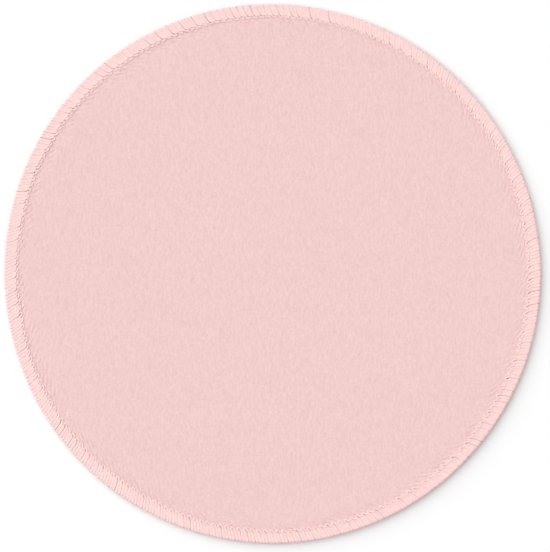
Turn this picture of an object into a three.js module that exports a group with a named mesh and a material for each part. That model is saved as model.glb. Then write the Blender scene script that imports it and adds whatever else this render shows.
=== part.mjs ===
// A round mouse pad with a stitched edge: a knit face, a bonding film and a foamed rubber base, bound
// round the rim by one unbroken overlock seam of three threads, which squeezes the soft sheets thinner.
// Millimetres, +Z up, with the origin at the centre of the underside.
import * as THREE from 'three';

// The whole pad, over the threads of its rim
const padDiameter = 220;
const padThickness = 3;

// The sheets, from the face down. The base has what is left of the pad's thickness.
const clothThickness = 0.4;
const filmThickness = 0.1;
const sheetFit = 0.02;

// The sheets where the seam squeezes them: how their cut edge is rounded, how far the face falls and
// the underside rises on the way out to it, and how wide the dip inside the seam is
const edgeRounding = 0.35;
const faceFall = 0.25;
const undersideRise = 0.45;
const dipWidth = 1.8;

// The seam
const stitchLength = 2.7;
const needleInset = 4.6;
const loopReach = 0.8;
const loopBendWidth = 0.55;
const stitchSlantDegrees = 17;
const threadFit = 0.05;

// The threads
const loopThickness = 0.6;
const pinchedThickness = 0.2;
const underLoopThickness = 0.4;
const underLoopBendWidth = 2;
const needleThreadWidth = 0.4;
const needleThreadThickness = 0.2;

// Where the edges and the ridge of a loop's leg lie along its stitch, at the rim and at the hole
const legAtRimShares = { left: 0.03, ridge: 0.25, right: 0.46 };
const legAtHoleShares = { left: 0.03, ridge: 0.15, right: 0.42 };
const holeShare = 0.5;

// Facets round the sheets
const sheetSides = 48;

const outlineRadius = padDiameter / 2;
const stitchCount = Math.round(Math.PI * padDiameter / stitchLength);
const stitchAngle = 2 * Math.PI / stitchCount;
const slant = Math.tan(THREE.MathUtils.degToRad(stitchSlantDegrees));

// Depths in from the outline of the sheets' cut edge, of its rounded corners, of the turns and the ends
// of the loops, and of the flat middle
const cutInset = loopThickness + threadFit;
const cornerInset = cutInset + edgeRounding;
const loopInset = needleInset + loopReach;
const turnInset = loopInset - loopBendWidth;
const flatInset = loopInset + dipWidth;

// The ridge of a loop's leg, at the rim and at the hole. A rise is measured up from the squeezed face
// at the loops' ends.
const shoulderInset = cutInset - threadFit;
const ridgeAtRimInset = shoulderInset - loopThickness * Math.SQRT1_2;
const ridgeAtHoleInset = (loopInset + turnInset) / 2;
const ridgeAtRimRise = threadFit + loopThickness * Math.SQRT1_2 - faceFall;
const ridgeAtHoleRise = threadFit + pinchedThickness - fallAt(ridgeAtHoleInset);

// The needle thread dips to the cloth at each hole and rises over the two legs between two holes
const needleRest = threadFit - fallAt(needleInset);
const legRise = THREE.MathUtils.mapLinear(
  needleInset, ridgeAtRimInset, ridgeAtHoleInset, ridgeAtRimRise, ridgeAtHoleRise);
const legRunShare = (holeShare - legAtHoleShares.ridge) / holeShare;
const crossingRise = (legRise + threadFit - needleRest) / legRunShare;

// The squeezed sheets lie low enough for the threads to end level with the pad's face and underside
const seamTop = padThickness - needleThreadThickness - crossingRise - needleRest;
const seamBottom = underLoopThickness + 2 * threadFit;
const cornerTop = seamTop - faceFall;
const cornerBottom = seamBottom + undersideRise;
const filmBelowFace = clothThickness + sheetFit;
const baseBelowFace = filmBelowFace + filmThickness + sheetFit;

const finishes = {
  cloth: { color: '#f1cecc', roughness: 0.9 },
  film: { color: '#e9e4da', roughness: 0.6 },
  rubber: { color: '#1d1d1f', roughness: 0.85 },
  thread: { color: '#fbd7d4', roughness: 0.8 },
};

// How far the squeezed face has fallen at a depth in from the outline
function fallAt(depth) {
  return THREE.MathUtils.mapLinear(depth, loopInset, cornerInset, 0, faceFall);
}

function faceHeight(depth) {
  return seamTop - fallAt(depth);
}

function undersideHeight(depth) {
  return THREE.MathUtils.mapLinear(depth, loopInset, cornerInset, seamBottom, cornerBottom);
}

// Depth of the rounded edge at a distance below the face
function edgeDepth(below) {
  return THREE.MathUtils.mapLinear(below, 0, baseBelowFace, cornerInset, cutInset);
}

// Turns an outline of [depth, height] points, which starts and ends on the axis, round the axis
function turnedSheet(outline) {
  const points = outline.map(([depth, height]) => new THREE.Vector2(outlineRadius - depth, height));
  return new THREE.LatheGeometry(points, sheetSides).rotateX(Math.PI / 2);
}

// The top or underside of a sheet that lies this far below the pad's face, from the axis outwards
function layerLine(below) {
  return [
    [outlineRadius, padThickness - below],
    [flatInset, padThickness - below],
    [loopInset, seamTop - below],
    [edgeDepth(below), cornerTop - below],
  ];
}

// A sheet between two such levels, with its rim cut along the rounded edge
function pressedSheet(top, thickness) {
  return turnedSheet([...layerLine(top + thickness), ...layerLine(top).reverse()]);
}

function rubberBase() {
  return turnedSheet([
    [outlineRadius, 0],
    [flatInset, 0],
    [loopInset, seamBottom],
    [cornerInset, cornerBottom],
    ...layerLine(baseBelowFace).reverse(),
  ]);
}

// A point of the seam. The seam is slanted: towards the middle of the pad it runs back clockwise.
function seamPoint(stitch, depth, height) {
  const angle = stitch * stitchAngle - depth * slant / outlineRadius;
  const radius = outlineRadius - depth;
  return [radius * Math.cos(angle), radius * Math.sin(angle), height];
}

// One closed thread through rings of three points: left edge, right edge and ridge, as seen along it
function threadThrough(rings) {
  const sides = rings[0].length;
  const faces = [];
  for (let ring = 0; ring < rings.length; ring++) {
    const here = ring * sides;
    const next = (ring + 1) % rings.length * sides;
    for (let side = 0; side < sides; side++) {
      const beside = (side + 1) % sides;
      faces.push(here + side, next + side, next + beside);
      faces.push(here + side, next + beside, here + beside);
    }
  }
  const geometry = new THREE.BufferGeometry();
  geometry.setAttribute('position', new THREE.Float32BufferAttribute(rings.flat(2), 3));
  geometry.setIndex(faces);
  geometry.computeVertexNormals();
  return geometry;
}

// The upper looper's thread comes in over the face, turns round the needle hole, goes back out and
// turns down over the edge between two stitches
function upperLooperThread() {
  const shoulderHeight = cornerTop + threadFit;
  const legAtRim = place => [
    seamPoint(place(legAtRimShares.left), shoulderInset, shoulderHeight),
    seamPoint(place(legAtRimShares.right), shoulderInset, shoulderHeight),
    seamPoint(place(legAtRimShares.ridge), ridgeAtRimInset, seamTop + ridgeAtRimRise),
  ];
  const legAtHole = place => [
    seamPoint(place(legAtHoleShares.left), loopInset, faceHeight(loopInset) + threadFit),
    seamPoint(place(legAtHoleShares.right), turnInset, faceHeight(turnInset) + threadFit),
    seamPoint(place(legAtHoleShares.ridge), ridgeAtHoleInset, seamTop + ridgeAtHoleRise),
  ];
  const turnTop = shoulderHeight - loopThickness / 2;
  const turnBottom = cornerBottom + threadFit;
  const turnAtEdge = stitch => [
    seamPoint(stitch, shoulderInset, turnTop),
    seamPoint(stitch, shoulderInset, turnBottom),
    seamPoint(stitch, 0, (turnTop + turnBottom) / 2),
  ];

  const rings = [];
  for (let stitch = 0; stitch < stitchCount; stitch++) {
    const inward = share => stitch + share;
    const outward = share => stitch + 1 - share;
    rings.push(legAtRim(inward), legAtHole(inward), legAtHole(outward), legAtRim(outward));
    rings.push(turnAtEdge(stitch + 1));
  }
  return threadThrough(rings);
}

// The lower looper's thread zigzags under the base between the edge and the needle holes
function lowerLooperThread() {
  const bend = (stitch, outerDepth) => {
    const innerDepth = outerDepth + underLoopBendWidth;
    const middleDepth = (outerDepth + innerDepth) / 2;
    return [
      seamPoint(stitch, outerDepth, undersideHeight(outerDepth) - threadFit),
      seamPoint(stitch, innerDepth, undersideHeight(innerDepth) - threadFit),
      seamPoint(stitch, middleDepth, undersideHeight(middleDepth) - threadFit - underLoopThickness),
    ];
  };
  const rings = [];
  for (let stitch = 0; stitch < stitchCount; stitch++) {
    rings.push(bend(stitch, shoulderInset));
    rings.push(bend(stitch + holeShare, loopInset - underLoopBendWidth));
  }
  return threadThrough(rings);
}

// The needle thread runs along the holes on the face, inside the turns of the loops
function needleThread() {
  const halfWidth = needleThreadWidth / 2;
  const section = (stitch, rise) => {
    const height = seamTop + needleRest + rise;
    return [
      seamPoint(stitch, needleInset + halfWidth, height),
      seamPoint(stitch, needleInset - halfWidth, height),
      seamPoint(stitch, needleInset, height + needleThreadThickness),
    ];
  };
  const rings = [];
  for (let stitch = 0; stitch < stitchCount; stitch++) {
    rings.push(section(stitch, crossingRise));
    rings.push(section(stitch + holeShare, 0));
  }
  return threadThrough(rings);
}

function piece(name, geometry, finish) {
  const mesh = new THREE.Mesh(geometry, new THREE.MeshStandardMaterial({ ...finish, metalness: 0 }));
  mesh.name = name;
  return mesh;
}

const pad = new THREE.Group();
pad.add(
  piece('rubber_base', rubberBase(), finishes.rubber),
  piece('bonding_film', pressedSheet(filmBelowFace, filmThickness), finishes.film),
  piece('cloth_top', pressedSheet(0, clothThickness), finishes.cloth),
  piece('upper_looper_thread', upperLooperThread(), finishes.thread),
  piece('lower_looper_thread', lowerLooperThread(), finishes.thread),
  piece('needle_thread', needleThread(), finishes.thread),
);

export default pad;
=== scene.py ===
"""A round mouse pad with a stitched edge, seen from straight above: the fine surfaces of its knit face,
bonding film, foamed rubber base and three seam threads, with their materials, the light and the camera.

Lengths are in millimetres until a mesh is made. A place on the seam is (stitch, depth, height): stitches
round the pad, depth in from the outline and height above the desk.
"""
import math

import bpy
import numpy as np
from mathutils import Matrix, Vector
from mathutils.geometry import delaunay_2d_cdt


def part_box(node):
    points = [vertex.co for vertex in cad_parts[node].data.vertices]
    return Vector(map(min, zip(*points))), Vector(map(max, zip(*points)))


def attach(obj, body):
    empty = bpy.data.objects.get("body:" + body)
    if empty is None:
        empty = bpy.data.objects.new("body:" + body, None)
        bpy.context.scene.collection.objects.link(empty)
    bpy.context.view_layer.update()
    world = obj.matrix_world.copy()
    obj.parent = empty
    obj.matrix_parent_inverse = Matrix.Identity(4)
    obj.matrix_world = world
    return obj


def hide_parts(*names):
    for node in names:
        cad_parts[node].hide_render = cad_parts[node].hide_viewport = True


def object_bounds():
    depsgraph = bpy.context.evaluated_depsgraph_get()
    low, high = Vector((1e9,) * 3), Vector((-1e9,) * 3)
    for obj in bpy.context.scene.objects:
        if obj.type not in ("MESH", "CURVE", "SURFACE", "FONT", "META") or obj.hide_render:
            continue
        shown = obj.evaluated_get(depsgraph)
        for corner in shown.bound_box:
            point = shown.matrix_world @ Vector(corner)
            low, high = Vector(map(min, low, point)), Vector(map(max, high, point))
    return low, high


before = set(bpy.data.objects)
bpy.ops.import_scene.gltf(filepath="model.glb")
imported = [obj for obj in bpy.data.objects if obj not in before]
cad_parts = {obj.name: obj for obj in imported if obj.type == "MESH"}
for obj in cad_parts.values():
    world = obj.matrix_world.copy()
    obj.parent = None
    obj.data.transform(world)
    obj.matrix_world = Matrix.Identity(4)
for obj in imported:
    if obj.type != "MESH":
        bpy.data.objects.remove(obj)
cad_box = [list(corner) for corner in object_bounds()]

MM = 0.001

# The pad, as the solids have it
OUTLINE_RADIUS = cad_box[1][0] / MM
FACE_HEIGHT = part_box("cloth_top")[1].z / MM
CLOTH_THICKNESS = 0.4
FILM_THICKNESS = 0.1
SHEET_FIT = 0.02

# The seam
STITCHES = 256
STITCH_ANGLE = 2 * math.pi / STITCHES
PITCH = STITCH_ANGLE * OUTLINE_RADIUS
SLANT = math.tan(math.radians(18))
NEEDLE_INSET = 4.6
LOOP_INSET = 5.4
FLAT_INSET = 7.2
HOLE_RADIUS = 0.24

# How far the needle thread pulls the ends of the loops askew, as a share of a stitch, and from what
# depth to what depth
HOOK_SHARE = 0.3
HOOK_DEPTHS = (3.4, 5.8)

# Where the seam's end was sewn over its start: the stitches from which it grows and is full, and those
# from which it fades and is gone; and how much more the loops lean and reach inwards there
OVERLAP_GROWS = (116, 121)
OVERLAP_FADES = (136, 143)
OVERLAP_LEAN, OVERLAP_REACH = 0.16, 0.2

# The pad's outline is a little out of round: how many bulges it has, their phase and their size
OUT_OF_ROUND = ((2, 2.45, 0.33), (3, -0.87, 0.19))

# The pressed sheets: heights of the face and of the underside at the loops' ends and at the cut edge
SEAM_TOP, CORNER_TOP = 2.7, 2.45
SEAM_BOTTOM, CORNER_BOTTOM = 0.5, 0.95
CORNER_INSET, CUT_INSET = 1.0, 0.65

# The dip of the face inside the seam: the share of it that rises close to the loops' ends and between
# what depths, and between what depths the rest rises
NEAR_SHARE, NEAR_DEPTHS = 0.82, (LOOP_INSET - 1.7, FLAT_INSET - 0.8)
FAR_DEPTHS = (LOOP_INSET, 11)

# Columns of the sheets' meshes round the pad
SAMPLES = 8
COLUMNS = STITCHES * SAMPLES

rng = np.random.default_rng(11)


def drift(every, size):
    """A smooth random drift round the seam, with a new value every few stitches."""
    count = STITCHES // every
    values = rng.normal(0, size, count)

    def at(stitch):
        place = np.asarray(stitch, float) / every
        first = np.floor(place).astype(int)
        share = place - first
        share = share * share * (3 - 2 * share)
        return values[first % count] * (1 - share) + values[(first + 1) % count] * share

    return at


# The sewing's irregularities: sideways at the rim, at the holes and along several stitches, as shares of
# a stitch; the depth of the loops' ends in millimetres; and their lean, sideways over inwards
rim_drift = drift(1, 0.01)
hole_drift = drift(1, 0.012)
slow_drift = drift(8, 0.06)
depth_drift = drift(1, 0.07)
slow_depth_drift = drift(8, 0.1)
lean_drift = drift(1, 0.008)
slow_lean_drift = drift(8, 0.05)


def smooth(value, low, high):
    """From 0 at low to 1 at high, with level ends."""
    share = np.clip((np.asarray(value, float) - low) / (high - low), 0, 1)
    return share * share * (3 - 2 * share)


def seam_overlap(stitch):
    """1 where the seam's end was sewn over its start, fading to 0 on both sides."""
    place = stitch % STITCHES
    return smooth(place, *OVERLAP_GROWS) * (1 - smooth(place, *OVERLAP_FADES))


def seam_xy(stitch, depth):
    """The place on the desk's plane of a seam point, with the sewing's small irregularities. These hold in
    the seam and fade out over the face next to it."""
    stitch, depth = np.asarray(stitch, float), np.asarray(depth, float)
    hold = smooth(depth, FLAT_INSET + 4, LOOP_INSET + 1)
    toward_hole = np.clip(depth / NEEDLE_INSET, 0, 1)
    moved = stitch + hold * (
        rim_drift(stitch) * (1 - toward_hole) + hole_drift(stitch) * toward_hole + slow_drift(stitch))
    overlap = seam_overlap(stitch)
    lean = lean_drift(stitch) + slow_lean_drift(stitch) + OVERLAP_LEAN * overlap
    moved = moved - hold * np.minimum(depth, NEEDLE_INSET) * lean / PITCH
    reach = depth_drift(stitch) + slow_depth_drift(stitch) + OVERLAP_REACH * overlap
    moved = moved - HOOK_SHARE * smooth(depth, *HOOK_DEPTHS)
    angle = moved * STITCH_ANGLE - np.minimum(depth, FLAT_INSET) * SLANT / OUTLINE_RADIUS
    radius = OUTLINE_RADIUS - depth - hold * toward_hole * reach
    bulge = sum(size * np.cos(bulges * angle + phase) for bulges, phase, size in OUT_OF_ROUND)
    radius = radius * (1 + bulge / OUTLINE_RADIUS)
    return np.stack([radius * np.cos(angle), radius * np.sin(angle)], axis=-1)


def face_height(depth):
    """The cloth's top at a depth, over the dip inside the seam and the pressed edge."""
    pressed = np.interp(depth, (CORNER_INSET, LOOP_INSET), (CORNER_TOP, SEAM_TOP))
    risen = NEAR_SHARE * smooth(depth, *NEAR_DEPTHS) + (1 - NEAR_SHARE) * smooth(depth, *FAR_DEPTHS)
    return pressed + (FACE_HEIGHT - pressed) * risen


def under_height(depth):
    """The base's underside at a depth, without its studs."""
    pressed = np.interp(depth, (CORNER_INSET, LOOP_INSET), (CORNER_BOTTOM, SEAM_BOTTOM))
    return pressed * (1 - smooth(depth, LOOP_INSET - 0.1, FLAT_INSET))


# Meshes

def add_piece(name, points, faces, material, replaced, coordinates=None):
    """Makes a mesh object of points in millimetres, without points that no face uses. coordinates holds
    each point's place in its thread, for the material."""
    used = np.unique(np.concatenate([np.ravel(part) for part in faces]))
    place = np.zeros(len(points), int)
    place[used] = np.arange(len(used))
    mesh = bpy.data.meshes.new(name)
    corners = [row for part in faces for row in place[part].tolist()]
    mesh.from_pydata((points[used] * MM).tolist(), [], corners)
    mesh.polygons.foreach_set("use_smooth", np.ones(len(mesh.polygons), bool))
    if coordinates is not None:
        layer = mesh.attributes.new("thread", "FLOAT_VECTOR", "POINT")
        layer.data.foreach_set("vector", coordinates[used].astype(np.float32).ravel())
    mesh.materials.append(material)
    mesh.update()
    piece = bpy.data.objects.new(name, mesh)
    bpy.context.scene.collection.objects.link(piece)
    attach(piece, "root")
    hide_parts(replaced)
    return piece


def ring_band(outer, inner):
    """Quads between two rings of as many points, facing up when outer is the larger."""
    return np.stack([outer, np.roll(outer, -1), np.roll(inner, -1), inner], axis=1)


def halving_band(outer, inner):
    """Triangles from a ring to one with half as many points."""
    even, odd, after = outer[0::2], outer[1::2], np.roll(outer, -2)[0::2]
    following = np.roll(inner, -1)
    return np.concatenate([
        np.stack([even, odd, inner], axis=1),
        np.stack([odd, following, inner], axis=1),
        np.stack([odd, after, following], axis=1)])


INSIDE_ONLY = 1
SAME_POINT = 1e-6


def filled(ring_points, inner_points):
    """Triangles over a ring and the points inside it, as indices into the two lists joined."""
    joined = np.concatenate([ring_points, inner_points])
    count = len(ring_points)
    ring_edges = [(corner, (corner + 1) % count) for corner in range(count)]
    vectors = [Vector(point) for point in joined.tolist()]
    _, _, faces, origin, _, _ = delaunay_2d_cdt(vectors, ring_edges, [], INSIDE_ONLY, SAME_POINT)
    source = np.array([first[0] for first in origin])
    faces = source[np.array(faces)]
    corner = joined[faces]
    one, two = corner[:, 1] - corner[:, 0], corner[:, 2] - corner[:, 0]
    turned = one[:, 0] * two[:, 1] - one[:, 1] * two[:, 0] < 0
    faces[turned] = faces[turned][:, ::-1]
    return joined, faces


# The eight points round a needle hole, in columns along the seam and rows inwards, and the rows' distance
HOLE_RING = ((-1, -1), (0, -1), (1, -1), (1, 0), (1, 1), (0, 1), (-1, 1), (-1, 0))
HOLE_STEP = PITCH / SAMPLES

# How far a ring with half as many points lies inside the one before, as a share of the way between two
# points of that one
HALVING_SHARE = 1.7


class Side:
    """One side of a sheet as a height field, seen from above: rings from the rim inwards, with a needle
    hole at each stitch, rings with fewer and fewer points, of which the last has as many as coarsest says,
    and an even field of points in the middle."""

    def __init__(self, depths, coarsest):
        # Rings of points, of which those round each hole's centre are moved to its edge
        hole_depths = [NEEDLE_INSET - HOLE_STEP, NEEDLE_INSET, NEEDLE_INSET + HOLE_STEP]
        depths = sorted([*depths, *hole_depths])
        rows, columns = len(depths), np.arange(COLUMNS)
        stitch = np.tile(columns / SAMPLES, (rows, 1))
        depth = np.tile(np.array(depths)[:, None], (1, COLUMNS))
        middle = depths.index(NEEDLE_INSET)
        centres = columns[SAMPLES // 2::SAMPLES]
        for along, inward in HOLE_RING:
            reach = HOLE_RADIUS / math.hypot(along, inward)
            stitch[middle + inward, centres + along] = centres / SAMPLES + along * reach / PITCH
            depth[middle + inward, centres + along] = NEEDLE_INSET + inward * reach

        # Quads between the rings, left out in the holes
        index = np.arange(rows * COLUMNS).reshape(rows, COLUMNS)
        faces = []
        for row in range(rows - 1):
            band = ring_band(index[row], index[row + 1])
            if row in (middle - 1, middle):
                open_here = np.isin(columns % SAMPLES, (SAMPLES // 2 - 1, SAMPLES // 2))
                band = band[~open_here]
            faces.append(band)
        self.rim = index[0]
        hole_corners = [index[middle + inward, centres + along] for along, inward in HOLE_RING]
        self.holes = np.stack(hole_corners, axis=1)

        # Coarser and coarser rings, then the middle
        stitch, depth = stitch.ravel(), depth.ravel()
        last, last_depth = index[-1], depths[-1]
        while len(last) > coarsest:
            last_depth += 2 * math.pi * OUTLINE_RADIUS / len(last) * HALVING_SHARE
            ring = len(stitch) + np.arange(len(last) // 2)
            stitch = np.concatenate([stitch, stitch[last[0::2]]])
            depth = np.concatenate([depth, np.full(len(ring), last_depth)])
            faces.append(halving_band(last, ring))
            last = ring
        plane = seam_xy(stitch, depth)
        inside = even_field(plane[last])
        joined, middle_faces = filled(plane[last], inside)
        numbers = np.concatenate([last, len(plane) + np.arange(len(inside))])
        faces.append(numbers[middle_faces])
        self.plane = np.concatenate([plane, inside])
        self.stitch = np.concatenate([stitch, np.zeros(len(inside))])
        self.depth = np.concatenate([depth, OUTLINE_RADIUS - np.linalg.norm(inside, axis=1)])
        self.faces = faces


def even_field(ring):
    """Points in equal triangles inside a ring, as far apart as the ring's own."""
    step = np.linalg.norm(ring[1] - ring[0])
    reach = np.linalg.norm(ring, axis=1).min() - 0.75 * step
    rows = np.arange(-math.ceil(reach / step * 1.2), math.ceil(reach / step * 1.2) + 1)
    x, y = np.meshgrid(rows * step, rows * step * math.sqrt(0.75))
    x[rows % 2 == 1] += step / 2
    points = np.stack([x.ravel(), y.ravel()], axis=1)
    return points[np.linalg.norm(points, axis=1) < reach]


def sheet_piece(name, upper, lower, top, bottom, material, replaced, edge=()):
    """A closed sheet between two sides, with walls in the needle holes and at the rim. edge holds the
    rings of the rim's wall between the two sides, from below: the depth at each column, and the height."""
    points = np.concatenate([
        np.column_stack([upper.plane, top]),
        np.column_stack([lower.plane, bottom])])
    shift = len(upper.plane)
    faces = [*upper.faces, *[part[:, ::-1] + shift for part in lower.faces]]
    rings = [lower.rim + shift]
    for depth, height in edge:
        rings.append(len(points) + np.arange(COLUMNS))
        plane = seam_xy(np.arange(COLUMNS) / SAMPLES, depth)
        points = np.concatenate([points, np.column_stack([plane, np.full(COLUMNS, height)])])
    rings.append(upper.rim)
    for below, above in zip(rings, rings[1:]):
        faces.append(ring_band(below, above))
    above, below = upper.holes, lower.holes + shift
    for corner in range(len(HOLE_RING)):
        beside = (corner + 1) % len(HOLE_RING)
        wall = [above[:, corner], above[:, beside], below[:, beside], below[:, corner]]
        faces.append(np.stack(wall, axis=1))
    return add_piece(name, points, faces, material, replaced)


# Materials

def linear(red, green, blue):
    """A colour as read off a screen, from 0 to 255, in the renderer's linear values."""
    return tuple(((c / 255 + 0.055) / 1.055) ** 2.4 for c in (red, green, blue)) + (1.0,)


# The stitches of the knit face, and the length of one turn of the needle thread's plies
COLUMN_WIDTH = 0.42
COURSE_HEIGHT = 0.34
PLY_LENGTH = 0.7

# Which output of its node gives a place on the object, and which gives an attribute's three values
OBJECT_PLACE = 3
ATTRIBUTE_VECTOR = 1


class Finish:
    """A material around one Principled shader, with short calls for its nodes."""

    def __init__(self, name, **sockets):
        self.material = bpy.data.materials.new(name)
        self.material.use_nodes = True
        self.tree = self.material.node_tree
        self.shader = self.tree.nodes["Principled BSDF"]
        for socket, value in sockets.items():
            self.shader.inputs[socket.replace("_", " ")].default_value = value

    def node(self, kind, *values, output=0, **settings):
        """Adds a node, with values or other nodes' outputs for its inputs in order; None leaves one as
        it is."""
        made = self.tree.nodes.new("ShaderNode" + kind)
        for setting, value in settings.items():
            setattr(made, setting, value)
        for place, value in enumerate(values):
            if isinstance(value, bpy.types.NodeSocket):
                self.tree.links.new(value, made.inputs[place])
            elif value is not None:
                made.inputs[place].default_value = value
        return made.outputs[output]

    def maths(self, operation, *values):
        """A sum or a function of values or other nodes' outputs."""
        return self.node("Math", *values, operation=operation)

    def split(self, vector):
        """The three values of a place or another vector."""
        made = self.tree.nodes.new("ShaderNodeSeparateXYZ")
        self.tree.links.new(vector, made.inputs[0])
        return made.outputs

    def noise(self, place, scale, detail=2.0):
        """Soft noise from about 0 to 1 at a place. Three scales stretch it along the three axes."""
        if isinstance(scale, tuple):
            place = self.node("VectorMath", place, scale, operation="MULTIPLY")
            scale = 1.0
        made = self.tree.nodes.new("ShaderNodeTexNoise")
        self.tree.links.new(place, made.inputs["Vector"])
        made.inputs["Scale"].default_value = scale
        made.inputs["Detail"].default_value = detail
        return made.outputs["Fac"]

    def mixed(self, share, low, high):
        """A colour between two, by a share."""
        made = self.tree.nodes.new("ShaderNodeMix")
        made.data_type = "RGBA"
        colour_sockets = [socket for socket in made.inputs if socket.type == "RGBA"]
        for socket, value in zip(colour_sockets, (low, high)):
            if isinstance(value, bpy.types.NodeSocket):
                self.tree.links.new(value, socket)
            else:
                socket.default_value = value
        self.tree.links.new(share, made.inputs["Factor"])
        return next(socket for socket in made.outputs if socket.type == "RGBA")

    def colour(self, share, low, high):
        """Sets the base colour, between two colours by a share."""
        self.tree.links.new(self.mixed(share, low, high), self.shader.inputs["Base Color"])

    def bump(self, height, depth, strength=1.0):
        """Gives the surface the relief of a height from 0 to 1, as deep as depth says."""
        made = self.tree.nodes.new("ShaderNodeBump")
        made.inputs["Strength"].default_value = strength
        made.inputs["Distance"].default_value = depth
        self.tree.links.new(height, made.inputs["Height"])
        self.tree.links.new(made.outputs["Normal"], self.shader.inputs["Normal"])


def knit_finish():
    """Columns of tiny V stitches, with yarn a little thicker here and there along each column, and painted
    shade in the grooves between them.
    """
    finish = Finish("knit_face", Roughness=0.9, Specular_IOR_Level=0.15)
    place = finish.node("TexCoord", output=OBJECT_PLACE)
    x, y, _ = finish.split(place)
    across = finish.maths("MULTIPLY", x, 1 / (COLUMN_WIDTH * MM))
    across = finish.maths("MULTIPLY_ADD", finish.noise(place, 900.0), 0.5, across)
    leg = finish.maths("ABSOLUTE", finish.maths("SUBTRACT", finish.maths("FRACT", across), 0.5))
    along = finish.maths("MULTIPLY", y, 1 / (COURSE_HEIGHT * MM))
    along = finish.maths("MULTIPLY_ADD", leg, 0.9, along)
    loop = finish.maths("SINE", finish.maths("MULTIPLY", along, 2 * math.pi))
    groove = finish.maths("COSINE", finish.maths("MULTIPLY", leg, 2 * math.pi))
    height = finish.maths("MULTIPLY_ADD", loop, 0.5, finish.maths("MULTIPLY", groove, 0.35))
    streaks = finish.noise(place, (1500.0, 500.0, 500.0), 1.0)
    mottle = finish.noise(place, 1100.0, 2.0)
    share = finish.maths("MULTIPLY_ADD", streaks, 1.0, finish.maths("MULTIPLY", mottle, 0.85))
    # The colour is a little darker where the knit's relief is low, in its grooves: painted shade. The
    # streaks and mottle are the knit's own uneven tone.
    share = finish.maths("MULTIPLY_ADD", height, 0.1, share)
    finish.colour(finish.maths("SUBTRACT", share, 0.42), linear(232, 194, 192), linear(249, 215, 214))
    finish.bump(height, 0.03 * MM, 0.6)
    return finish.material


def yarn_finish():
    """Bulky soft yarn: fine fibres along it, with painted shade between them, and faint warm and cool
    patches.
    """
    finish = Finish("seam_yarn", Roughness=0.8, Specular_IOR_Level=0.2)
    along = finish.node("Attribute", attribute_name="thread", output=ATTRIBUTE_VECTOR)
    fibres = finish.noise(along, (9.0, 1.1, 9.0), 3.0)
    place = finish.node("TexCoord", output=OBJECT_PLACE)
    tufts = finish.maths("MULTIPLY_ADD", finish.noise(place, 900.0, 2.0), 1.2, -0.6)
    # The colour follows the fibres' relief and is darker where it is low: painted shade. The tufts and the
    # warm and cool patches are the yarn's own uneven tone.
    share = finish.maths("ADD", fibres, tufts)
    patches = finish.noise(place, 160.0, 1.0)
    light = finish.mixed(patches, linear(254, 223, 224), linear(254, 226, 219))
    dark = finish.mixed(patches, linear(248, 206, 207), linear(249, 210, 203))
    finish.colour(share, dark, light)
    finish.bump(fibres, 0.05 * MM, 0.6)
    return finish.material


def plied_finish():
    """Two plies twisted together, seen as slanted ridges round a fine thread, with painted shade in the
    valleys between the plies.
    """
    finish = Finish("plied_thread", Roughness=0.75, Specular_IOR_Level=0.25)
    along = finish.node("Attribute", attribute_name="thread", output=ATTRIBUTE_VECTOR)
    x, run, y = finish.split(along)
    round_it = finish.maths("ARCTAN2", y, x)
    twist = finish.maths("MULTIPLY_ADD", run, 2 * math.pi / PLY_LENGTH, round_it)
    ridge = finish.maths("ABSOLUTE", finish.maths("SINE", twist))
    # The valleys between the plies are painted darker than the ridges: painted shade.
    finish.colour(ridge, linear(252, 217, 215), linear(255, 238, 235))
    finish.bump(ridge, 0.04 * MM, 0.8)
    return finish.material


def film_finish():
    """Cloudy, slightly glossy glue film."""
    finish = Finish("glue_film", Roughness=0.45)
    place = finish.node("TexCoord", output=OBJECT_PLACE)
    cloud = finish.noise(place, 600.0)
    finish.colour(cloud, linear(222, 216, 204), linear(240, 236, 226))
    finish.bump(cloud, 0.01 * MM)
    return finish.material


def rubber_finish():
    """Matt black foamed rubber with fine pores, which carry painted shade."""
    finish = Finish("foamed_rubber", Roughness=0.82, Specular_IOR_Level=0.35)
    place = finish.node("TexCoord", output=OBJECT_PLACE)
    pores = finish.noise(place, 4200.0, 3.0)
    # The colour is darker where the pores' relief is low: painted shade.
    finish.colour(pores, linear(34, 34, 36), linear(60, 60, 63))
    finish.bump(pores, 0.05 * MM, 0.8)
    return finish.material


# The cloth, the film and the base

# Depths of the rings of the visible face and of the sides that no one sees
FACE_DEPTHS = (1.0, 1.15, 2.6, *np.arange(5.2, 10.5, 0.28), 11.0, 11.6, 12.3)
HIDDEN_DEPTHS = (1.0, 2.6, LOOP_INSET, FLAT_INSET)

# The folds of the puckers: how many round the pad, their lean against the stitches, and their height;
# the depths between which they begin and fade; and how much weaker they are both at the right and left
# than between, and more so at the right
PUCKERS = ((171, 2.4, 0.1), (217, 1.2, 0.09), (293, -2.0, 0.068), (353, 0.8, 0.07))
PUCKERS_BEGIN = (LOOP_INSET - 0.6, LOOP_INSET + 0.4)
PUCKERS_FADE = (6.4, 12.3)
WEAKER_AT_SIDES, WEAKER_AT_RIGHT = 0.25, 0.12
pucker_phases = [(rng.uniform(0, 2 * math.pi), drift(1, 0.6)) for wave in PUCKERS]

# The small swellings of the knit between the loops' ends: their height, and where they rise and fall
SWELLING_HEIGHT = 0.15
SWELLING_RISES = (4.1, 4.7)
SWELLING_FALLS = (5.4, 6.6)


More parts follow.
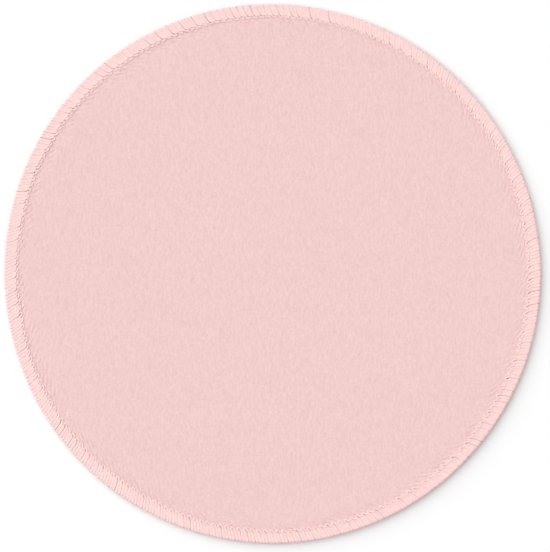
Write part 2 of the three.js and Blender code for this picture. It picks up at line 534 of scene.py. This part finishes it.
def puckers(stitch, depth):
    """The knit's fine irregular folds inside the seam and its small swellings between the loops. The folds
    are broken up along their length, and are weaker at the pad's right and left."""
    total = np.zeros(len(stitch))
    for (turns, lean, size), (phase, strength) in zip(PUCKERS, pucker_phases):
        wave = np.cos(stitch * STITCH_ANGLE * turns + depth * lean * turns / OUTLINE_RADIUS + phase)
        broken = 0.6 + 0.8 * np.cos(3.3 * depth + 4.4 * stitch + 2 * phase)
        total += size * wave * broken * (0.85 + 0.5 * strength(stitch + 0.7 * depth))
    round_pad = stitch * STITCH_ANGLE
    total *= 1 - WEAKER_AT_SIDES * np.cos(2 * round_pad) - WEAKER_AT_RIGHT * np.cos(round_pad)
    total *= smooth(depth, *PUCKERS_BEGIN) * (1 - smooth(depth, *PUCKERS_FADE))
    swelling = SWELLING_HEIGHT * np.clip(np.cos(2 * math.pi * stitch), 0, 1) ** 2
    return total + swelling * smooth(depth, *SWELLING_RISES) * (1 - smooth(depth, *SWELLING_FALLS))


def middle_waves(plane):
    """How the soft sheet lies, a few hundredths of a millimetre out of true."""
    x, y = plane[:, 0], plane[:, 1]
    fade = smooth(np.hypot(x, y), OUTLINE_RADIUS - FLAT_INSET, OUTLINE_RADIUS - 25)
    return 0.03 * fade * (np.sin(x / 17 + y / 29 + 1) + np.sin(y / 13 - x / 31) + np.sin(x / 9 + 2) * 0.5)


face = Side(FACE_DEPTHS, 256)
hidden = Side(HIDDEN_DEPTHS, 64)
uneven = puckers(face.stitch, face.depth) + middle_waves(face.plane)
hidden_level = face_height(hidden.depth)
cloth = sheet_piece(
    "knit_cloth_face", face, hidden,
    face_height(face.depth) + uneven,
    hidden_level - CLOTH_THICKNESS,
    knit_finish(), "cloth_top")
film_below_face = CLOTH_THICKNESS + SHEET_FIT
film = sheet_piece(
    "bonding_film_sheet", hidden, hidden,
    hidden_level - film_below_face,
    hidden_level - film_below_face - FILM_THICKNESS,
    film_finish(), "bonding_film")
base_below_face = film_below_face + FILM_THICKNESS + SHEET_FIT

# Depths of the rings of the underside, and the height of its studs
UNDER_DEPTHS = (1.0, 1.15, 1.5, 2.6, 3.7, 5.2, 5.4, 5.8, 6.2, 6.7, 7.2, 7.8)
STUD_HEIGHT = 0.16
under = Side(UNDER_DEPTHS, 512)
field_step = np.linalg.norm(under.plane[-1] - under.plane[-2])


def stud_recess(plane):
    """How far the underside lies above its studs: three waves make round studs on every third point of
    the even field."""
    x, y = (plane * 4 * math.pi / (3 * field_step)).T
    waves = np.cos(x) + np.cos(x / 2 + y * math.sqrt(0.75)) + np.cos(x / 2 - y * math.sqrt(0.75))
    begun = smooth(OUTLINE_RADIUS - np.linalg.norm(plane, axis=1), FLAT_INSET, FLAT_INSET + 3)
    return STUD_HEIGHT * (1 - (waves + 1.5) / 4.5) * begun


# The base's cut edge swells outwards inside each loop, where no yarn holds it in: its depth where it is
# held, by how much it swells, the share of that at the middle and at the columns next to it, and the
# rings of the edge, with how much deeper each one lies and its height
EDGE_DEPTH, EDGE_SWELL = 0.74, 0.74
SWELL_SHARES = [1, 0.86, 0.3]
EDGE_RINGS = ((0.12, 1.2), (0.0, 1.45), (0.08, 1.72))
from_middle = np.abs(np.arange(COLUMNS) % SAMPLES - SAMPLES // 2)
edge_swelling = np.select([from_middle == 0, from_middle == 1, from_middle == 2], SWELL_SHARES, 0)
base_edge = [
    (EDGE_DEPTH + inward - EDGE_SWELL * edge_swelling, height) for inward, height in EDGE_RINGS]
base = sheet_piece(
    "foamed_rubber_base", hidden, under,
    hidden_level - base_below_face,
    under_height(under.depth) + stud_recess(under.plane),
    rubber_finish(), "rubber_base", base_edge)


# The threads

# The pressed sheets' outline in the seam, over which the loops lie: depth and height, from the face's
# dip over the cut edge to the underside's dip
LINE_DEPTHS = np.array([6.6, 6.0, 5.4, 4.6, 3.0, 1.8, 1.2])
CUT_EDGE = ((0.85, 2.2), (0.66, 1.8), (0.7, 1.35), (0.95, 1.0))
OVER_EDGE = np.concatenate([
    np.column_stack([LINE_DEPTHS, face_height(LINE_DEPTHS)]),
    CUT_EDGE,
    np.column_stack([LINE_DEPTHS[-2::-1], under_height(LINE_DEPTHS[-2::-1])])])


def spline(a, b, c, d, steps):
    """Steps of smooth curves from the points b to the points c, where a come before and d after them."""
    share = np.linspace(0, 1, steps, endpoint=False)[None, :, None]
    a, b, c, d = (part[:, None] for part in (a, b, c, d))
    made = 0.5 * (2 * b + (c - a) * share + (2 * a - 5 * b + 4 * c - d) * share ** 2
                  + (3 * b - a - 3 * c + d) * share ** 3)
    return made.reshape(-1, b.shape[-1])


def curve_through(points, steps):
    """An open smooth curve through points."""
    before = 2 * points[:1] - points[1:2]
    after = 2 * points[-1:] - points[-2:-1]
    padded = np.concatenate([before, points, after])
    made = spline(padded[:-3], padded[1:-2], padded[2:-1], padded[3:], steps)
    return np.concatenate([made, points[-1:]])


edge_curve = curve_through(OVER_EDGE, 12)
edge_length = np.concatenate([[0], np.cumsum(np.linalg.norm(np.diff(edge_curve, axis=0), axis=1))])
edge_way = np.gradient(edge_curve, edge_length, axis=0)

# Lengths along it are counted from the needle holes
half = len(edge_curve) // 2
edge_length -= np.interp(-NEEDLE_INSET, -edge_curve[:half, 0], edge_length[:half])


def over_edge(run, rise):
    """Depth and height at a run outwards from the needle holes over the edge and a rise off the sheets,
    and the direction away from the sheets there."""
    at = [np.interp(run, edge_length, edge_curve[:, k]) for k in range(2)]
    way = np.stack([np.interp(run, edge_length, edge_way[:, k]) for k in range(2)], axis=-1)
    way /= np.linalg.norm(way, axis=-1, keepdims=True)
    away = np.stack([way[..., 1], -way[..., 0]], axis=-1)
    return at[0] + rise * away[..., 0], at[1] + rise * away[..., 1], away


def round_the_seam(rows):
    """The rows of half a stitch, mirrored to close its loop, repeated round the pad."""
    rows = np.array(rows, float)
    back = rows[-2:0:-1].copy()
    back[:, 0] = 1 - back[:, 0]
    table = np.tile(np.concatenate([rows, back]), (STITCHES, 1, 1))
    table[:, :, 0] += np.arange(STITCHES)[:, None]
    return table


def refined(table, steps):
    """A smooth closed line through the table's rows, whose first column grows by one turn of the seam."""
    line = table.reshape(-1, table.shape[2])
    turn = np.zeros(line.shape[1])
    turn[0] = STITCHES
    before = np.concatenate([line[-1:] - turn, line[:-1]])
    following = np.concatenate([line[1:], line[:1] + turn])
    second = np.concatenate([line[2:], line[:2] + turn])
    return spline(before, line, following, second, steps)


def yarn_piece(name, stitch, depth, height, away, half_width, half_thickness, section, material, replaced):
    """A closed yarn round the whole seam, in one piece. away is the direction of the thickness, in depth
    and height, and section holds the section's points as shares of the half width and half thickness."""
    plane = seam_xy(stitch, depth)
    points = np.column_stack([plane, height])

    # The directions of the yarn's way, its thickness and its width
    outward = np.column_stack([plane / np.linalg.norm(plane, axis=1, keepdims=True), np.zeros(len(plane))])
    up = -outward * away[:, :1] + np.array([0, 0, 1]) * away[:, 1:]
    way = np.roll(points, -1, axis=0) - np.roll(points, 1, axis=0)
    way /= np.linalg.norm(way, axis=1, keepdims=True)
    up -= way * (up * way).sum(1, keepdims=True)
    up /= np.linalg.norm(up, axis=1, keepdims=True)
    side = np.cross(up, way)

    # The rings of points round it, and the quads between them
    count = section.shape[1]
    x, y = section[..., 0] * half_width[:, None], section[..., 1] * half_thickness[:, None]
    body = points[:, None] + x[..., None] * side[:, None] + y[..., None] * up[:, None]
    index = np.arange(body.shape[0] * count).reshape(-1, count)
    after = np.roll(index, -1, axis=0)
    beside, after_beside = np.roll(index, -1, axis=1), np.roll(after, -1, axis=1)
    quads = np.stack([index, beside, after_beside, after], axis=-1)
    faces = [quads[:, k] for k in range(count)]

    # Each point's place in the yarn: across it, along it and in its thickness
    run = np.concatenate([[0], np.cumsum(np.linalg.norm(np.diff(points, axis=0), axis=1))])
    coordinates = np.stack([x, np.broadcast_to(run[:, None], x.shape), y], axis=-1).reshape(-1, 3)
    return add_piece(name, body.reshape(-1, 3), faces, material, replaced, coordinates)


# The sections of a soft bundle of strands, with the points of its strands on top, and of a round thread, as
# shares of the half width and half thickness
BUNDLE = np.array([
    (1.0, 0.0), (0.92, 0.52), (0.66, 0.86), (0.33, 0.92), (0.0, 1.0), (-0.33, 0.92), (-0.66, 0.86),
    (-0.92, 0.52), (-1.0, 0.0), (0.0, -0.9)])
TOP_STRANDS = slice(3, 6)
ROUND = np.array([(math.cos(t), math.sin(t)) for t in np.arange(8) * math.pi / 4])

# Half a stitch of each looper's thread, from its turn at the edge to its turn at the needle hole: share of
# the stitch, run outwards from the hole, rise off the sheets, half width and half thickness
UPPER_LOOP = (
    (0.00, 5.05, 0.17, 0.34, 0.15),
    (0.175, 4.56, 0.43, 0.50, 0.19),
    (0.228, 3.98, 0.70, 0.625, 0.25),
    (0.240, 3.67, 0.67, 0.690, 0.27),
    (0.240, 3.20, 0.37, 0.690, 0.24),
    (0.238, 0.95, 0.28, 0.66, 0.225),
    (0.231, 0.30, 0.26, 0.515, 0.205),
    (0.237, -0.30, 0.22, 0.435, 0.175),
    (0.34, -0.76, 0.175, 0.39, 0.155),
    (0.50, -0.90, 0.155, 0.38, 0.15))
LOWER_LOOP = (
    (0.00, 4.30, 0.17, 0.20, 0.13),
    (0.11, 4.65, 0.26, 0.26, 0.14),
    (0.18, 5.08, 0.44, 0.34, 0.17),
    (0.23, 5.75, 0.30, 0.42, 0.20),
    (0.25, 7.15, 0.24, 0.45, 0.20),
    (0.26, 8.35, 0.22, 0.38, 0.18),
    (0.31, 9.05, 0.18, 0.25, 0.15),
    (0.39, 9.38, 0.16, 0.19, 0.13),
    (0.50, 9.50, 0.16, 0.17, 0.13))


# Rings of a yarn to each row of its table
STEPS = 2

# Random changes of a looper's yarn: of its legs' places, as a share of a stitch, of their widths, as a
# share, and of all heights, in millimetres; and how far its top strands sway, as a share of its half width
LEG_SHIFT, LEG_WIDENING, HEIGHT_CHANGE = 0.006, 0.016, 0.012
STRAND_SWAY = 0.1


def looper_piece(name, rows, material, replaced):
    """A looper's yarn, with each stitch's two legs a little irregular."""
    table = round_the_seam(rows)
    count = table.shape[1]
    leg = np.sin(np.arange(count) * 2 * math.pi / count)
    leg_shift = rng.normal(0, LEG_SHIFT, (STITCHES, 2))
    leg_width = rng.normal(0, LEG_WIDENING, (STITCHES, 2))
    first = np.maximum(leg, 0)
    second = np.maximum(-leg, 0)
    table[:, :, 0] += leg_shift[:, :1] * first + leg_shift[:, 1:] * second
    table[:, :, 3] *= 1 + leg_width[:, :1] * first + leg_width[:, 1:] * second
    table[:, :, 2] += rng.normal(0, HEIGHT_CHANGE, table.shape[:2])
    stitch, run, rise, half_width, half_thickness = refined(table, STEPS).T
    depth, height, away = over_edge(run, rise)
    sway = STRAND_SWAY * np.sin(np.cumsum(rng.uniform(0.1, 0.5, len(stitch))))
    section = np.tile(BUNDLE, (len(stitch), 1, 1))
    section[:, TOP_STRANDS, 0] += sway[:, None]
    return yarn_piece(
        name, stitch, depth, height, away, half_width, half_thickness, section, material, replaced)


yarn = yarn_finish()
looper_piece("upper_looper_yarn", UPPER_LOOP, yarn, "upper_looper_thread")
looper_piece("lower_looper_yarn", LOWER_LOOP, yarn, "lower_looper_thread")

# Half a stitch of the needle thread, from over the legs through the hole to its small loop underneath:
# share of the stitch, depth inwards from the hole, height, half width and half thickness
HOLE_TOP, HOLE_BOTTOM = face_height(NEEDLE_INSET), under_height(NEEDLE_INSET)
NEEDLE_LOOP = (
    (0.00, 0.00, HOLE_TOP + 0.48, 0.16, 0.11),
    (0.13, 0.00, HOLE_TOP + 0.52, 0.18, 0.12),
    (0.28, 0.00, HOLE_TOP + 0.50, 0.17, 0.12),
    (0.385, 0.00, HOLE_TOP + 0.32, 0.12, 0.11),
    (0.445, 0.00, HOLE_TOP + 0.03, 0.09, 0.09),
    (0.46, 0.00, HOLE_TOP - 0.50, 0.09, 0.09),
    (0.46, 0.00, HOLE_BOTTOM + 0.35, 0.09, 0.09),
    (0.452, 0.02, HOLE_BOTTOM - 0.02, 0.1, 0.1),
    (0.42, 0.35, HOLE_BOTTOM - 0.36, 0.11, 0.1),
    (0.50, 0.80, HOLE_BOTTOM - 0.42, 0.11, 0.1))
table = round_the_seam(NEEDLE_LOOP)
table[:, :, 2] += rng.normal(0, HEIGHT_CHANGE, table.shape[:2])

# The line starts inside a hole, which hides where the end of the twist meets its start
ROW_IN_HOLE = 5
line = np.roll(refined(table, STEPS), -ROW_IN_HOLE * STEPS, axis=0)
stitch, inward, height, half_width, half_thickness = line.T

# This thread runs down and up through the holes, so its section is turned by a quarter: its thickness is
# given as the width, and its width lies across the seam
away = np.tile([1.0, 0.0], (len(stitch), 1))
section = np.tile(ROUND, (len(stitch), 1, 1))
yarn_piece(
    "needle_yarn", stitch, NEEDLE_INSET + inward, height, away, half_thickness, half_width, section,
    plied_finish(), "needle_thread")

# The desk, the lights and the camera
scene = bpy.context.scene
scene.view_settings.view_transform = "Standard"


def strength_by_ray(tree, lighting, seen):
    """A strength for rays that light the object, and another one for rays that show what they meet: those
    from the camera, off shiny surfaces and through clear ones."""
    path = tree.nodes.new("ShaderNodeLightPath")
    shows = path.outputs["Is Camera Ray"]
    for kind in ("Is Glossy Ray", "Is Transmission Ray"):
        either = tree.nodes.new("ShaderNodeMath")
        either.operation = "MAXIMUM"
        tree.links.new(shows, either.inputs[0])
        tree.links.new(path.outputs[kind], either.inputs[1])
        shows = either.outputs[0]
    strength = tree.nodes.new("ShaderNodeMath")
    strength.operation = "MULTIPLY_ADD"
    tree.links.new(shows, strength.inputs[0])
    strength.inputs[1].default_value = seen - lighting
    strength.inputs[2].default_value = lighting
    return strength.outputs[0]


# The desk is lifted to white where it is seen, and its surface keeps the shadow
DESK_SIDE = 6.0
DESK_GAP = 0.05 * MM
DESK_GREY = 0.91
DESK_LIFT = 0.08

half_side = DESK_SIDE / 2
desk_corners = [(x * half_side, y * half_side, 0) for x, y in ((-1, -1), (1, -1), (1, 1), (-1, 1))]
floor_mesh = bpy.data.meshes.new("floor")
floor_mesh.from_pydata(desk_corners, [], [(0, 1, 2, 3)])
floor = bpy.data.objects.new("floor", floor_mesh)
scene.collection.objects.link(floor)
floor.location.z = -DESK_GAP
floor_look = bpy.data.materials.new("white_desk")
floor_look.use_nodes = True
tree = floor_look.node_tree
tree.nodes.clear()
surface = tree.nodes.new("ShaderNodeBsdfDiffuse")
surface.inputs["Color"].default_value = (DESK_GREY, DESK_GREY, DESK_GREY, 1)
lift = tree.nodes.new("ShaderNodeEmission")
tree.links.new(strength_by_ray(tree, 0.0, DESK_LIFT), lift.inputs["Strength"])
both = tree.nodes.new("ShaderNodeAddShader")
tree.links.new(surface.outputs[0], both.inputs[0])
tree.links.new(lift.outputs[0], both.inputs[1])
output = tree.nodes.new("ShaderNodeOutputMaterial")
tree.links.new(both.outputs[0], output.inputs["Surface"])
floor_mesh.materials.append(floor_look)

# The room gives a dim even light, and is pure white where it is seen
ROOM_LIGHT = 0.255
world = bpy.data.worlds.new("studio")
scene.world = world
world.use_nodes = True
background = world.node_tree.nodes["Background"]
background.inputs["Color"].default_value = (1, 1, 1, 1)
world.node_tree.links.new(strength_by_ray(world.node_tree, ROOM_LIGHT, 1.0), background.inputs["Strength"])


def broad_light(name, energy, spread, direction, elevation):
    """A broad soft light. Its spread, the direction that it comes from, counted from the right over the
    top, and its elevation are in degrees."""
    light = bpy.data.lights.new(name, "SUN")
    light.energy = energy
    light.angle = math.radians(spread)
    lamp = bpy.data.objects.new(name, light)
    scene.collection.objects.link(lamp)
    direction = math.radians(direction)
    toward = Vector((math.cos(direction), math.sin(direction), math.tan(math.radians(elevation))))
    lamp.rotation_euler = toward.to_track_quat("Z", "Y").to_euler()


broad_light("key", energy=2.84, spread=84, direction=142, elevation=47)
broad_light("fill", energy=0.75, spread=90, direction=-42, elevation=24)

# The photograph's size, and the pad's radius and middle in it, in pixels
PHOTO_WIDTH, PHOTO_HEIGHT = 550, 552
PHOTO_RADIUS = 269.1
PHOTO_MIDDLE = (272.4, 273.4)

PIXEL = OUTLINE_RADIUS / PHOTO_RADIUS
CAMERA_HEIGHT = 1200
camera = bpy.data.cameras.new("camera")
camera.sensor_fit = "HORIZONTAL"
camera.sensor_width = 36
camera.lens = camera.sensor_width * (CAMERA_HEIGHT - SEAM_TOP) / (PHOTO_WIDTH * PIXEL)
camera.clip_start, camera.clip_end = 0.01, 10
camera_object = bpy.data.objects.new("camera", camera)
scene.collection.objects.link(camera_object)
camera_object.location = (
    (PHOTO_WIDTH / 2 - PHOTO_MIDDLE[0]) * PIXEL * MM,
    (PHOTO_MIDDLE[1] - PHOTO_HEIGHT / 2) * PIXEL * MM,
    CAMERA_HEIGHT * MM)
scene.camera = camera_object
